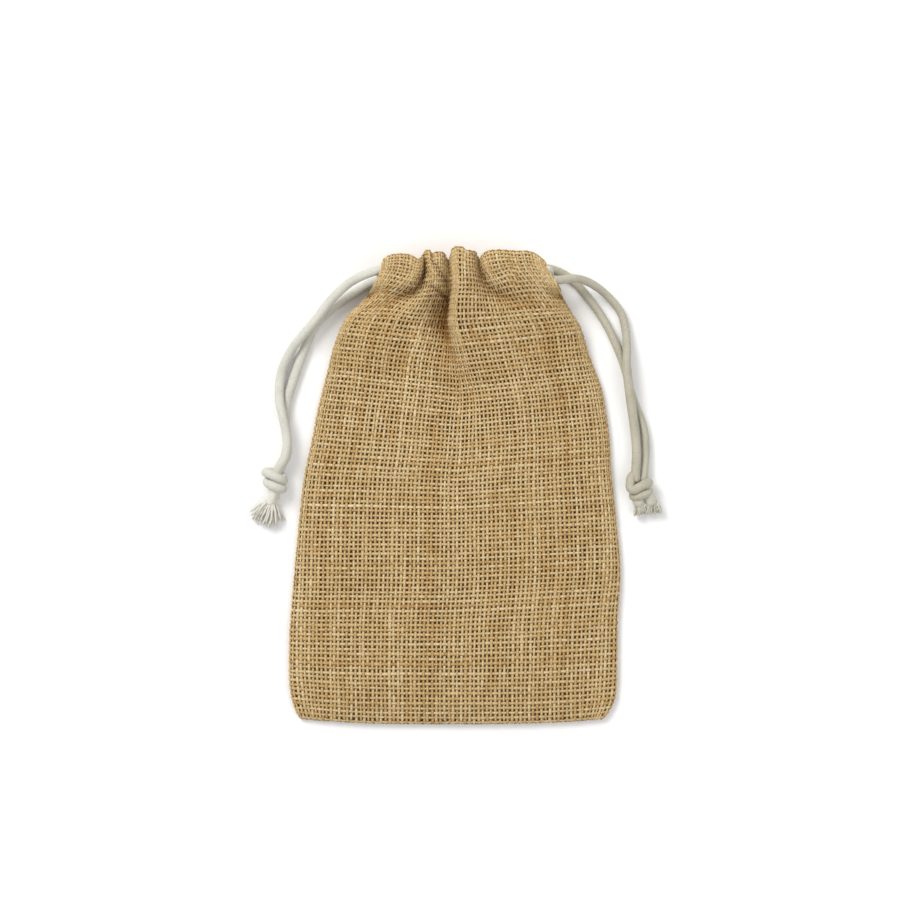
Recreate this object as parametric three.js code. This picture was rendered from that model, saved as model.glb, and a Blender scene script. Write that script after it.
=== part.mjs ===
// Drawstring gift pouch of woven jute with two cotton drawcords, lying on its back with the mouth half gathered.
// Millimetres. +Y points to the mouth, +X to the right of the front panel, +Z up, and Z = 0 is the surface it lies on.
import * as THREE from 'three';
import { mergeVertices } from 'three/addons/utils/BufferGeometryUtils.js';

// ---------- driving dimensions ----------
const CLOTH = 0.9; // thickness of one layer of jute
const GAP = 0.3; // clearance between neighbouring solids
const BOTTOM_Y = -91.5; // the bottom seam
const RIM_Y = 91.5; // the highest point of the gathered rim
const CASING_Y = 72.3; // where the hem's stitching closes the cord tunnels
const PANEL_TOP_Y = CASING_Y - GAP;
const CORNER_R = 10; // rounding of the bottom corners
const MOUTH_LEFT_X = -27.2; // left and right ends of the gathered cord tunnels
const MOUTH_RIGHT_X = 37.0;
const EDGE_LIFT = 1.2; // how far the back panel curls up at the side seams
const EDGE_ROLL = 6; // width over which it curls
const SEAM_OPEN = 1.0; // space between the panels at the seam line, which holds the seam's thread
const BODY_RISE = 11; // how far the front panel stands above the seams over the body
const NECK_RISE = 9.1; // the same at the neck
const BOTTOM_CROWN = 40; // length over which the front panel rises from the bottom seam
const CROWN_FLAT = 2.4; // how flat the top of the front panel's arch is
const CROWN_ROUND = 0.75; // how round its shoulders are
const NECK_Y = [20, 70]; // where the rise changes from that of the body to that of the neck
const CURL_END = 12; // length below the hem over which the back panel's curl dies out

const CORD_D = 3.5;
const CORD_SIDES = 8;
const TUNNEL_H = 5.9; // outer height of a hem with a cord in it
const FRONT_CASING_Z = 12.2; // underside of the front hem; the mouth is the space below it
const BACK_CORD_Z = CLOTH + GAP + CORD_D / 2;
const FRONT_CORD_Z = FRONT_CASING_Z + BACK_CORD_Z;

// Each cord runs through both hems; the two cords change sides between front and back.
const LEFT_CORD = { frontY: 82.8, backY: 79.0 };
const RIGHT_CORD = { frontY: 78.5, backY: 83.5 };

// Side edges of the pouch, x at each y, narrowing to the gathered neck.
const LEFT_EDGE = [[-91.5, -64], [-76, -64], [-37, -61.6], [0, -57.4], [33, -50.2], [56, -43.6], [66, -38], [72, -32]];
const RIGHT_EDGE = [[-91.5, 64], [-60, 64], [-37, 64], [0, 61.4], [33, 57.4], [56, 50], [66, 45.6], [72, 41.5]];

const JUTE = { color: 0xb19669, roughness: 0.95, metalness: 0 };
const THREAD = { color: 0xc3a878, roughness: 0.85, metalness: 0 };
const COTTON = { color: 0xe2ded0, roughness: 0.9, metalness: 0 };

const pouch = new THREE.Group();

function add(name, geometry, finish) {
  const mesh = new THREE.Mesh(geometry, new THREE.MeshStandardMaterial(finish));
  mesh.name = name;
  pouch.add(mesh);
  return mesh;
}

// ---------- closed bodies from grids of points ----------
function bodyFrom(points, faces) {
  const geometry = new THREE.BufferGeometry();
  geometry.setAttribute('position', new THREE.Float32BufferAttribute(points.flat(), 3));
  geometry.setIndex(faces.flat());
  return geometry;
}

// A sheet between an upper and a lower surface, each given as f(s, t) with s and t from 0 to 1.
function sheetBody(upper, lower, ns, nt, row = (j) => j / nt) {
  const points = [];
  for (const surface of [upper, lower]) {
    for (let j = 0; j <= nt; j++) {
      for (let i = 0; i <= ns; i++) points.push(surface(i / ns, row(j)));
    }
  }
  const half = (ns + 1) * (nt + 1);
  const top = (i, j) => j * (ns + 1) + i;
  const low = (i, j) => half + top(i, j);
  const faces = [];
  const quad = (a, b, c, d) => faces.push([a, b, c], [a, c, d]);
  for (let j = 0; j < nt; j++) {
    for (let i = 0; i < ns; i++) {
      quad(top(i, j), top(i + 1, j), top(i + 1, j + 1), top(i, j + 1));
      quad(low(i, j), low(i, j + 1), low(i + 1, j + 1), low(i + 1, j));
    }
    quad(top(0, j), top(0, j + 1), low(0, j + 1), low(0, j));
    quad(top(ns, j), low(ns, j), low(ns, j + 1), top(ns, j + 1));
  }
  for (let i = 0; i < ns; i++) {
    quad(top(i, 0), low(i, 0), low(i + 1, 0), top(i + 1, 0));
    quad(top(i, nt), top(i + 1, nt), low(i + 1, nt), low(i, nt));
  }
  return bodyFrom(points, faces);
}

// A hollow tube along X, open at both ends: outer(k, s) and inner(k, s) are its two walls' points in order round it.
function hollowTube(outer, inner, around, along) {
  const points = [];
  for (let j = 0; j <= along; j++) {
    for (let k = 0; k < around; k++) points.push(outer(k / around, j / along), inner(k / around, j / along));
  }
  const out = (k, j) => 2 * (j * around + (k % around));
  const ins = (k, j) => out(k, j) + 1;
  const faces = [];
  const quad = (a, b, c, d) => faces.push([a, b, c], [a, c, d]);
  for (let k = 0; k < around; k++) {
    for (let j = 0; j < along; j++) {
      quad(out(k, j), out(k + 1, j), out(k + 1, j + 1), out(k, j + 1));
      quad(ins(k, j), ins(k, j + 1), ins(k + 1, j + 1), ins(k + 1, j));
    }
    quad(out(k, 0), ins(k, 0), ins(k + 1, 0), out(k + 1, 0));
    quad(out(k, along), out(k + 1, along), ins(k + 1, along), ins(k, along));
  }
  return bodyFrom(points, faces);
}

// A round cord along a smooth curve.
function cordBody(curve, steps, diameter = CORD_D) {
  const section = new THREE.Shape();
  for (let i = 0; i < CORD_SIDES; i++) {
    const angle = (i / CORD_SIDES) * 2 * Math.PI;
    const place = [(diameter / 2) * Math.cos(angle), (diameter / 2) * Math.sin(angle)];
    if (i === 0) section.moveTo(...place);
    else section.lineTo(...place);
  }
  return new THREE.ExtrudeGeometry(section, { steps, extrudePath: curve, curveSegments: 1 });
}

// ---------- the pouch's outline and surfaces ----------
function curveThrough(pairs) {
  const curve = new THREE.SplineCurve(pairs.map(([y, x]) => new THREE.Vector2(y, x)));
  const fine = curve.getPoints(120);
  return (y) => {
    const next = fine.findIndex((p) => p.x >= y);
    if (next <= 0) return fine[next === 0 ? 0 : fine.length - 1].y;
    const [a, b] = [fine[next - 1], fine[next]];
    return a.y + ((b.y - a.y) * (y - a.x)) / (b.x - a.x);
  };
}

const leftEdge = curveThrough(LEFT_EDGE);
const rightEdge = curveThrough(RIGHT_EDGE);

function cornerInset(y) {
  const below = Math.max(0, BOTTOM_Y + CORNER_R - y);
  return CORNER_R - Math.sqrt(Math.max(0, CORNER_R ** 2 - below ** 2));
}

// x of a point a share s of the way from the left edge to the right one.
function across(s, y) {
  const left = leftEdge(y) + cornerInset(y);
  const right = rightEdge(y) - cornerInset(y);
  return left + s * (right - left);
}

function distanceToEdge(s, y) {
  const width = across(1, y) - across(0, y);
  return Math.min(s * width, (1 - s) * width, y - BOTTOM_Y);
}

// The back panel's underside: flat on the ground, curling up to the seams.
function backUnderside(s, y) {
  const roll = Math.max(0, 1 - distanceToEdge(s, y) / EDGE_ROLL);
  const fade = THREE.MathUtils.smoothstep(PANEL_TOP_Y - y, 0, CURL_END);
  return EDGE_LIFT * roll * roll * fade;
}

const crown = (share) => (1 - Math.abs(share) ** CROWN_FLAT) ** CROWN_ROUND;

// The front panel's underside: a low pillow over the body that runs level into the neck.
function frontUnderside(s, y) {
  const rise = THREE.MathUtils.lerp(BODY_RISE, NECK_RISE, THREE.MathUtils.smoothstep(y, ...NECK_Y));
  const fromBottom = Math.min(1, (y - BOTTOM_Y) / BOTTOM_CROWN);
  const seam = EDGE_LIFT + CLOTH + SEAM_OPEN;
  return seam + rise * crown(2 * s - 1) * crown(1 - fromBottom);
}

// Rows and columns of a panel, closer together at the rounded bottom corners and at the side edges.
const PANEL_ROWS = 20;
const BACK_COLUMNS = 16;
const FRONT_COLUMNS = 22;
const ROWS_EVEN = 0.35; // share of the even spacing in the rows, the rest bunches towards the bottom
const ROWS_BUNCH = 1.6;
const COLUMNS_BUNCH = 0.35;

function panelY(t) {
  return THREE.MathUtils.lerp(BOTTOM_Y, PANEL_TOP_Y, ROWS_EVEN * t + (1 - ROWS_EVEN) * t ** ROWS_BUNCH);
}

function panelColumn(s) {
  const share = 2 * s - 1;
  return 0.5 + 0.5 * ((1 + COLUMNS_BUNCH) * share - COLUMNS_BUNCH * share ** 3);
}

function panel(underside, columns) {
  const layer = (thick) => (s, t) => {
    const [y, at] = [panelY(t), panelColumn(s)];
    return [across(at, y), y, underside(at, y) + thick];
  };
  return sheetBody(layer(CLOTH), layer(0), columns, PANEL_ROWS);
}

add('back_panel', panel(backUnderside, BACK_COLUMNS), JUTE);
add('front_panel', panel(frontUnderside, FRONT_COLUMNS), JUTE);

// ---------- seams inside the pouch ----------
const ALLOWANCE_W = 6; // width of the turned-in seam allowance
const ALLOWANCE_IN = 2; // where it starts, in from the seam line
const SEAM_THREAD_W = 1.2; // width of the row of stitches
const SEAM_THREAD_IN = 0.4;
const SIDE_SEAM_Y = [BOTTOM_Y + 13, 64];
const BOTTOM_SEAM_X = [-48, 48];
const SIDE_SEAM_STEPS = [2, 14]; // across and along
const BOTTOM_SEAM_STEPS = [8, 2];

function sideStrip(side, inFrom, width, lift, thick) {
  const layer = (extra) => (s, t) => {
    const y = THREE.MathUtils.lerp(...SIDE_SEAM_Y, t);
    const span = across(1, y) - across(0, y);
    const inward = inFrom + width * (side < 0 ? s : 1 - s);
    const share = side < 0 ? inward / span : 1 - inward / span;
    return [across(share, y), y, backUnderside(share, y) + CLOTH + lift + extra];
  };
  return sheetBody(layer(thick), layer(0), ...SIDE_SEAM_STEPS);
}

function bottomStrip(inFrom, width, lift, thick) {
  const layer = (extra) => (s, t) => {
    const y = BOTTOM_Y + inFrom + width * t;
    return [THREE.MathUtils.lerp(...BOTTOM_SEAM_X, s), y, backUnderside(0.5, y) + CLOTH + lift + extra];
  };
  return sheetBody(layer(thick), layer(0), ...BOTTOM_SEAM_STEPS);
}

const THREAD_T = 0.4;
for (const [side, name] of [[-1, 'left'], [1, 'right']]) {
  add(`${name}_seam_allowance`, sideStrip(side, ALLOWANCE_IN, ALLOWANCE_W, GAP, 2 * CLOTH), JUTE);
  add(`${name}_seam_thread`, sideStrip(side, SEAM_THREAD_IN, SEAM_THREAD_W, GAP, THREAD_T), THREAD);
}
add('bottom_seam_allowance', bottomStrip(ALLOWANCE_IN, ALLOWANCE_W, GAP, 2 * CLOTH), JUTE);
add('bottom_seam_thread', bottomStrip(SEAM_THREAD_IN, SEAM_THREAD_W, GAP, THREAD_T), THREAD);

// ---------- hems turned in at the mouth, which make the cord tunnels ----------
const LOBES = 5; // folds of the gathered rim
const LOBE_DEPTH = 2.6; // depth of the notches between them
const RIM_BASE_Y = RIM_Y - LOBE_DEPTH;
const LOBE_ROUND = 0.5;
const TUNNEL_SIDES = 20;
const TUNNEL_SQUARE = { y: 0.7, z: 0.35 }; // 1 makes the tunnel's section an ellipse, less makes it boxier

const lobe = (s) => Math.abs(Math.sin(Math.PI * LOBES * s)) ** LOBE_ROUND;
const squared = (value, power) => Math.sign(value) * Math.abs(value) ** power;

// One wall of a hem: a flat-bottomed loop in Y and Z. inset is 0 for the outer wall and CLOTH for the inner one.
function hemWall(baseZ, inset) {
  return (k, s) => {
    const angle = 2 * Math.PI * k;
    const low = CASING_Y + inset;
    const high = RIM_BASE_Y + LOBE_DEPTH * lobe(s) * (inset ? 0 : 1) - inset;
    const y = THREE.MathUtils.lerp(low, high, 0.5 + 0.5 * squared(Math.cos(angle), TUNNEL_SQUARE.y));
    const z = TUNNEL_H / 2 + (TUNNEL_H / 2 - inset) * squared(Math.sin(angle), TUNNEL_SQUARE.z);
    return [THREE.MathUtils.lerp(MOUTH_LEFT_X, MOUTH_RIGHT_X, s), y, baseZ + z];
  };
}

function hem(baseZ) {
  return hollowTube(hemWall(baseZ, 0), hemWall(baseZ, CLOTH), TUNNEL_SIDES, 4 * LOBES);
}

add('back_casing', hem(0), JUTE);
add('front_casing', hem(FRONT_CASING_Z), JUTE);

// The stitch lines that close the tunnels, as low ribs of thread over the lower edge of each hem.
const HEM_STITCH_Y = [CASING_Y + 0.2, CASING_Y + 1.0];
const HEM_STITCH_X = [MOUTH_LEFT_X + 1, MOUTH_RIGHT_X - 1];
const HEM_STITCH_STEPS = 12;

function hemStitch(z) {
  const layer = (extra) => (s, t) => [
    THREE.MathUtils.lerp(...HEM_STITCH_X, s),
    THREE.MathUtils.lerp(...HEM_STITCH_Y, t),
    z + extra,
  ];
  return sheetBody(layer(THREAD_T), layer(0), HEM_STITCH_STEPS, 1);
}

add('back_hem_stitch', hemStitch(TUNNEL_H + GAP), THREAD);
add('front_hem_stitch', hemStitch(FRONT_CASING_Z + TUNNEL_H + GAP), THREAD);

// ---------- bar tacks at the foot of the side vents ----------
const TACK = { width: 3, depth: 1.4, centreY: 73.4, fromVent: 2, sides: 10 };
const tackZ = [TUNNEL_H + 2 * GAP + THREAD_T, FRONT_CASING_Z - GAP];
const tackX = { left: MOUTH_LEFT_X + TACK.fromVent, right: MOUTH_RIGHT_X - TACK.fromVent };
for (const [side, x] of Object.entries(tackX)) {
  const post = new THREE.CylinderGeometry(TACK.depth / 2, TACK.depth / 2, tackZ[1] - tackZ[0], TACK.sides);
  const tack = add(`${side}_vent_bartack`, post, THREAD);
  tack.rotation.x = Math.PI / 2;
  tack.scale.x = TACK.width / TACK.depth;
  tack.position.set(x, TACK.centreY, (tackZ[0] + tackZ[1]) / 2);
}

// ---------- drawcords inside the hems: through the front, round the far vent, back through the other hem ----------
const BIGHT_REACH = 4.6; // how far a cord's turn stands out of the far vent
const BIGHT_IN = 0.6; // how far inside the far vent the turn starts
const BIGHT_STRETCH = 1.15; // share by which the turn's length is more than half a circle's

class DrawcordLoop extends THREE.Curve {
  constructor(nearX, farX, cord) {
    super();
    Object.assign(this, { nearX, farX, cord });
    this.way = Math.sign(farX - nearX);
    this.leg = Math.abs(farX - nearX) - BIGHT_IN;
    this.arc = Math.PI * BIGHT_REACH * BIGHT_STRETCH;
  }

  getPoint(t, target = new THREE.Vector3()) {
    const whole = 2 * this.leg + this.arc;
    const along = t * whole;
    const turned = THREE.MathUtils.clamp((along - this.leg) / this.arc, 0, 1);
    const straight = Math.min(along, this.leg) - Math.max(0, along - this.leg - this.arc);
    const angle = Math.PI * turned;
    const x = this.nearX + this.way * (straight + BIGHT_REACH * Math.sin(angle));
    const share = (1 - Math.cos(angle)) / 2;
    const y = THREE.MathUtils.lerp(this.cord.frontY, this.cord.backY, share);
    return target.set(x, y, THREE.MathUtils.lerp(FRONT_CORD_Z, BACK_CORD_Z, share));
  }
}

const LOOP_STEPS = 44;
const CORD_MEETS = 0.5; // a drawcord stops this far inside its vent, where its tails start
add(
  'left_cord_loop',
  cordBody(new DrawcordLoop(MOUTH_LEFT_X + CORD_MEETS, MOUTH_RIGHT_X, LEFT_CORD), LOOP_STEPS),
  COTTON,
);
add(
  'right_cord_loop',
  cordBody(new DrawcordLoop(MOUTH_RIGHT_X - CORD_MEETS, MOUTH_LEFT_X, RIGHT_CORD), LOOP_STEPS),
  COTTON,
);

// ---------- free tails of the drawcords: routes from the vent to the knot, chosen by hand ----------
const TAILS = {
  left_tail_front: [
    [-27.2, 82.8, 15.15], [-31.2, 82.8, 14.8], [-35.4, 81.0, 13.0], [-40.2, 77.2, 10.4], [-44.6, 73.4, 8.2],
    [-48.5, 69.3, 6.8], [-52.0, 64.6, 6.0], [-55.6, 60.2, 5.9], [-59.6, 55.6, 5.3], [-62.9, 50.8, 3.5],
    [-65.5, 45.6, 2.2], [-66.7, 40.2, 2.1], [-66.9, 36.0, 3.4], [-66.5, 31.0, 5.3], [-65.3, 25.8, 6.1],
    [-64.2, 20.6, 6.1], [-63.8, 15.8, 6.1], [-64.7, 10.6, 6.3], [-66.5, 7.5, 6.2],
  ],
  left_tail_back: [
    [-27.2, 79.0, 2.95], [-31.6, 77.9, 2.6], [-35.8, 75.6, 2.1], [-40.3, 72.8, 1.85], [-44.9, 69.8, 1.85],
    [-49.0, 66.4, 1.85], [-52.0, 63.2, 1.85], [-54.3, 59.6, 1.85], [-56.0, 55.6, 1.85], [-57.8, 51.2, 1.85],
    [-59.4, 46.8, 1.85], [-61.0, 42.2, 1.85], [-62.4, 37.8, 1.85], [-63.8, 33.4, 1.85], [-64.5, 28.8, 1.85],
    [-64.6, 23.4, 1.85], [-64.0, 17.4, 1.85], [-64.2, 11.6, 2.0], [-66.3, 7.2, 2.3],
  ],
  right_tail_front: [
    [37.0, 78.5, 15.15], [41.5, 78.6, 14.2], [46.5, 79.3, 11.5], [51.5, 78.4, 8.6], [57.0, 75.4, 5.4],
    [62.0, 70.8, 3.0], [65.2, 66.4, 2.1], [66.7, 61.4, 2.0], [67.3, 56.0, 2.9], [67.3, 51.0, 4.9],
    [67.2, 46.0, 6.1], [67.6, 41.4, 6.1], [68.3, 36.2, 6.0], [69.1, 30.4, 5.4], [70.0, 24.6, 4.2],
    [70.8, 18.0, 3.4], [71.1, 11.6, 4.0], [70.7, 5.6, 4.7],
  ],
  right_tail_back: [
    [37.0, 83.5, 2.95], [41.5, 82.2, 2.6], [46.6, 79.0, 2.1], [51.0, 74.2, 1.85], [55.2, 68.8, 1.85],
    [59.2, 62.6, 1.85], [62.6, 55.8, 1.85], [65.3, 49.2, 1.85], [67.2, 43.4, 1.85], [68.4, 38.4, 1.85],
    [69.6, 34.2, 1.85], [71.3, 29.8, 1.85], [73.1, 25.2, 1.85], [74.4, 20.4, 1.85], [74.9, 15.4, 1.95],
    [74.8, 10.2, 2.1], [74.3, 5.4, 2.8],
  ],
};
const TAIL_STEPS = 24;
for (const [name, route] of Object.entries(TAILS)) {
  const curve = new THREE.CatmullRomCurve3(route.map((p) => new THREE.Vector3(...p)), false, 'centripetal');
  add(name, cordBody(curve, TAIL_STEPS), COTTON);
}

// ---------- knots that tie each pair of tails, and the frayed ends below them ----------
const KNOTS = {
  left_knot: { at: [-68.6, 1.9, 4.6], half: [4.8, 5.4, 4.4], turn: -0.35 },
  right_knot: { at: [72.0, -0.2, 4.6], half: [5.2, 5.0, 4.4], turn: 0.3 },
};
const KNOT_FACETS = [14, 10];
for (const [name, knot] of Object.entries(KNOTS)) {
  const mesh = add(name, new THREE.SphereGeometry(1, ...KNOT_FACETS), COTTON);
  mesh.scale.set(...knot.half);
  mesh.rotation.z = knot.turn;
  mesh.position.set(...knot.at);
}

// Each frayed end is a short neck that flares into loose fibres. Shares are of its length, widths of the flare.
const FRAY = { neckR: 1.6, neckEnd: 0.4, widest: 0.75, tipWidth: 0.85, sides: 10 };
function frayedEnd(from, to, flare) {
  const line = new THREE.Vector3(...to).sub(new THREE.Vector3(...from));
  const long = line.length();
  const neck = [[0, 0], [FRAY.neckR, 0], [FRAY.neckR, FRAY.neckEnd * long]];
  const brush = [[flare, FRAY.widest * long], [FRAY.tipWidth * flare, long], [0, long]];
  const profile = [...neck, ...brush].map(([r, y]) => new THREE.Vector2(r, y));
  const geometry = new THREE.LatheGeometry(profile, FRAY.sides);
  const turn = new THREE.Quaternion().setFromUnitVectors(new THREE.Vector3(0, 1, 0), line.normalize());
  return geometry.applyQuaternion(turn).translate(...from);
}

const FRAYS = {
  left_frayed_end_front: { from: [-69.2, -4.6, 5.6], to: [-73.6, -15.4, 4.2], flare: 2.2 },
  left_frayed_end_back: { from: [-68.4, -4.6, 2.0], to: [-68.6, -15.6, 2.4], flare: 2.2 },
  right_frayed_end_front: { from: [71.4, -6.0, 3.4], to: [73.2, -12.0, 2.4], flare: 2.2 },
  right_frayed_end_back: { from: [75.6, -5.4, 3.4], to: [78.4, -11.6, 2.4], flare: 2.2 },
};
for (const [name, { from, to, flare }] of Object.entries(FRAYS)) add(name, frayedEnd(from, to, flare), COTTON);

for (const mesh of pouch.children) {
  mesh.geometry.deleteAttribute('normal');
  mesh.geometry.deleteAttribute('uv');
  mesh.geometry = mergeVertices(mesh.geometry);
}

export default pouch;
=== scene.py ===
# Drawstring gift pouch of woven jute with two cotton drawcords, lying on a pale table and seen from above.
# Shapes are worked out in millimetres in the CAD frame and turned into metres when a mesh is made.
import math

import bpy
import numpy as np
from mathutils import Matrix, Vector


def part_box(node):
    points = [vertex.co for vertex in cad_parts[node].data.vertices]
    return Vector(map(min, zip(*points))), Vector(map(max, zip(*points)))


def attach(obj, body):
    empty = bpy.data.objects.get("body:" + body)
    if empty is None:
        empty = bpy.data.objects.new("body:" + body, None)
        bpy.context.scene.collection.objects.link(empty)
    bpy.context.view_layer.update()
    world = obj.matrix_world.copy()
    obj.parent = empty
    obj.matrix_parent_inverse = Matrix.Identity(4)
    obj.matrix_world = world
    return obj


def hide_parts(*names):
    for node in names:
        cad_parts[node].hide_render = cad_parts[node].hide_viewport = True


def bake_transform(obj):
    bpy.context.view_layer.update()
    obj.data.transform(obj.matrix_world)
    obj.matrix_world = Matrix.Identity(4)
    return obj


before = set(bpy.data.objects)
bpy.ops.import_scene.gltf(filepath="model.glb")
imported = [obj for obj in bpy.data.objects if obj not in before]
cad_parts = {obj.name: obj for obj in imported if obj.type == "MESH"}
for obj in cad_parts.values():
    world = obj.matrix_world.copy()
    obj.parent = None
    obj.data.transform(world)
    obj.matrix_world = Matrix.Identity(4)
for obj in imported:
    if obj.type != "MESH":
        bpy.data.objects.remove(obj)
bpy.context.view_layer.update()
MM = 0.001

# ---------- camera ----------
VIEW_CENTRE = (2.9, 9.6)  # the point on the table below the camera
VIEW_WIDTH = 354.2
LENS = 120.0
SENSOR = 36.0
MEAN_HEIGHT = 8.0  # height of the plane on which the view width is measured

camera = bpy.data.objects.new("camera", bpy.data.cameras.new("camera"))
camera.data.lens = LENS
camera.data.sensor_width = SENSOR
camera.location = (
    VIEW_CENTRE[0] * MM,
    VIEW_CENTRE[1] * MM,
    (VIEW_WIDTH * LENS / SENSOR + MEAN_HEIGHT) * MM,
)
bpy.context.scene.collection.objects.link(camera)
bpy.context.scene.camera = camera


# ---------- small tools ----------
def smoothstep(value, low, high):
    t = np.clip((np.asarray(value, float) - low) / (high - low), 0, 1)
    return t * t * (3 - 2 * t)


def smooth_curve(xs, ys, x):
    """A smooth curve through (xs, ys) that doesn't overshoot."""
    xs, ys = np.asarray(xs, float), np.asarray(ys, float)
    step = np.diff(xs)
    slope = np.diff(ys) / step
    tangent = np.zeros(len(xs))
    both = slope[:-1] * slope[1:] > 0
    mean = 2 * slope[:-1] * slope[1:] / np.where(both, slope[:-1] + slope[1:], 1)
    tangent[1:-1] = np.where(both, mean, 0)
    tangent[0], tangent[-1] = slope[0], slope[-1]
    x = np.clip(x, xs[0], xs[-1])
    k = np.clip(np.searchsorted(xs, x) - 1, 0, len(xs) - 2)
    h = step[k]
    t = (x - xs[k]) / h
    return (
        ys[k] * (1 + 2 * t) * (1 - t) ** 2
        + ys[k + 1] * t * t * (3 - 2 * t)
        + h * tangent[k] * t * (1 - t) ** 2
        + h * tangent[k + 1] * t * t * (t - 1)
    )


def smoothed(values, passes, axis=0):
    """values with neighbours averaged along one axis, ends kept."""
    out = np.moveaxis(np.array(values, float), axis, 0)
    for _ in range(passes):
        out[1:-1] = 0.25 * out[:-2] + 0.5 * out[1:-1] + 0.25 * out[2:]
    return np.moveaxis(out, 0, axis)


def unit(vectors):
    return vectors / np.maximum(np.linalg.norm(vectors, axis=-1, keepdims=True), 1e-9)


def soft_noise(rng, shape, passes):
    """Random values that vary smoothly along the last axis, about -1 to 1."""
    raw = smoothed(rng.standard_normal(shape), passes, axis=-1)
    return raw / (raw.std() * 2 + 1e-9)


def waves(x, y, seed, longest, count=7):
    """A gentle random relief in the plane, about -1 to 1."""
    rng = np.random.default_rng(seed)
    total = np.zeros(np.broadcast(x, y).shape)
    for _ in range(count):
        angle, length = rng.uniform(0, math.pi), longest * rng.uniform(0.4, 1)
        phase = rng.uniform(0, 2 * math.pi)
        total += np.sin(2 * math.pi * (x * math.cos(angle) + y * math.sin(angle)) / length + phase)
    return total / math.sqrt(count) / 1.4


def build(name, points, quads, material, attributes=None):
    """A smooth mesh object from points in millimetres and faces; a triangle repeats its last corner."""
    mesh = bpy.data.meshes.new(name)
    points, quads = np.asarray(points, float).reshape(-1, 3) * MM, np.asarray(quads, np.int32)
    corner = np.ones(quads.shape, bool)
    corner[:, 3] = quads[:, 2] != quads[:, 3]
    starts = np.append(0, np.cumsum(corner.sum(1))[:-1])
    mesh.vertices.add(len(points))
    mesh.vertices.foreach_set("co", points.astype(np.float32).ravel())
    mesh.loops.add(int(corner.sum()))
    mesh.loops.foreach_set("vertex_index", quads[corner])
    mesh.polygons.add(len(quads))
    mesh.polygons.foreach_set("loop_start", starts.astype(np.int32))
    mesh.update(calc_edges=True)
    mesh.validate()
    mesh.polygons.foreach_set("use_smooth", np.ones(len(mesh.polygons), bool))
    for key, values in (attributes or {}).items():
        layer = mesh.attributes.new(key, "FLOAT", "POINT")
        layer.data.foreach_set("value", np.asarray(values, np.float32).ravel())
    mesh.materials.append(material)
    thing = bpy.data.objects.new(name, mesh)
    bpy.context.scene.collection.objects.link(thing)
    return thing


def tubes(centres, sideways, upward, half_width, half_height, sides, start_angle=0.0):
    """Points and faces of tubes along several lines at once; centres is (lines, rings, 3)."""
    lines, rings = centres.shape[:2]
    angle = start_angle + 2 * math.pi * np.arange(sides) / sides
    wide = np.broadcast_to(half_width, (lines, rings))[..., None, None] * np.cos(angle)[:, None]
    tall = np.broadcast_to(half_height, (lines, rings))[..., None, None] * np.sin(angle)[:, None]
    points = centres[:, :, None] + sideways[:, :, None] * wide + upward[:, :, None] * tall
    line, ring, side = np.meshgrid(np.arange(lines), np.arange(rings - 1), np.arange(sides), indexing="ij")
    following = (side + 1) % sides
    base = (line * rings + ring) * sides
    walls = np.stack([base + side, base + following, base + sides + following, base + sides + side], -1)
    first = (np.arange(lines) * rings * sides)[:, None, None]
    fan = np.array([[0, k + 1, k, k] for k in range(1, sides - 1)])
    last = np.array([[0, k, k + 1, k + 1] for k in range(1, sides - 1)]) + (rings - 1) * sides
    faces = [walls.reshape(-1, 4), (first + fan).reshape(-1, 4), (first + last).reshape(-1, 4)]
    return points.reshape(-1, 3), np.vstack(faces)


def tube_facts(along, sides, tone=0.5):
    """What the materials read from a tube: its tone, the distance along it and the place round it."""
    spread = (*along.shape, sides)
    return {
        "tone": np.broadcast_to(np.asarray(tone)[..., None], spread).ravel(),
        "along": np.broadcast_to(along[..., None], spread).ravel(),
        "around": np.broadcast_to(np.arange(sides) / sides, spread).ravel(),
    }


def through(points, step):
    """Points a step apart along a centripetal Catmull-Rom curve through the given ones."""
    given = np.asarray(points, float)
    given = np.vstack([2 * given[0] - given[1], given, 2 * given[-1] - given[-2]])
    fine = []
    for a, b, c, d in zip(given[:-3], given[1:-2], given[2:-1], given[3:]):
        ta = math.sqrt(np.linalg.norm(b - a))
        tb = ta + math.sqrt(np.linalg.norm(c - b))
        tc = tb + math.sqrt(np.linalg.norm(d - c))
        t = np.linspace(ta, tb, 24, endpoint=False)[:, None]
        ab = a + (b - a) * t / ta
        bc = b + (c - b) * (t - ta) / (tb - ta)
        cd = c + (d - c) * (t - tb) / (tc - tb)
        abc = ab + (bc - ab) * t / tb
        bcd = bc + (cd - bc) * (t - ta) / (tc - ta)
        fine.append(abc + (bcd - abc) * (t - ta) / (tb - ta))
    fine = np.vstack(fine + [given[-2:-1]])
    along = along_line(fine)
    wanted = np.linspace(0, along[-1], max(4, round(along[-1] / step) + 1))
    return np.stack([np.interp(wanted, along, fine[:, k]) for k in range(3)], -1)


def along_line(path):
    """Distance of each point of a line from its start."""
    return np.append(0, np.cumsum(np.linalg.norm(np.diff(path, axis=0), axis=1)))


def frames_along(path):
    """Sideways and upward directions along a line, carried along without twist."""
    tangent = unit(np.gradient(path, axis=0))
    first = np.cross(tangent[0], (0, 0, 1))
    if np.linalg.norm(first) < 0.1:
        first = np.cross(tangent[0], (0, 1, 0))
    side = [unit(first)]
    for t in tangent[1:]:
        side.append(unit(side[-1] - t * np.dot(side[-1], t)))
    side = np.array(side)
    return side, np.cross(side, tangent)


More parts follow.
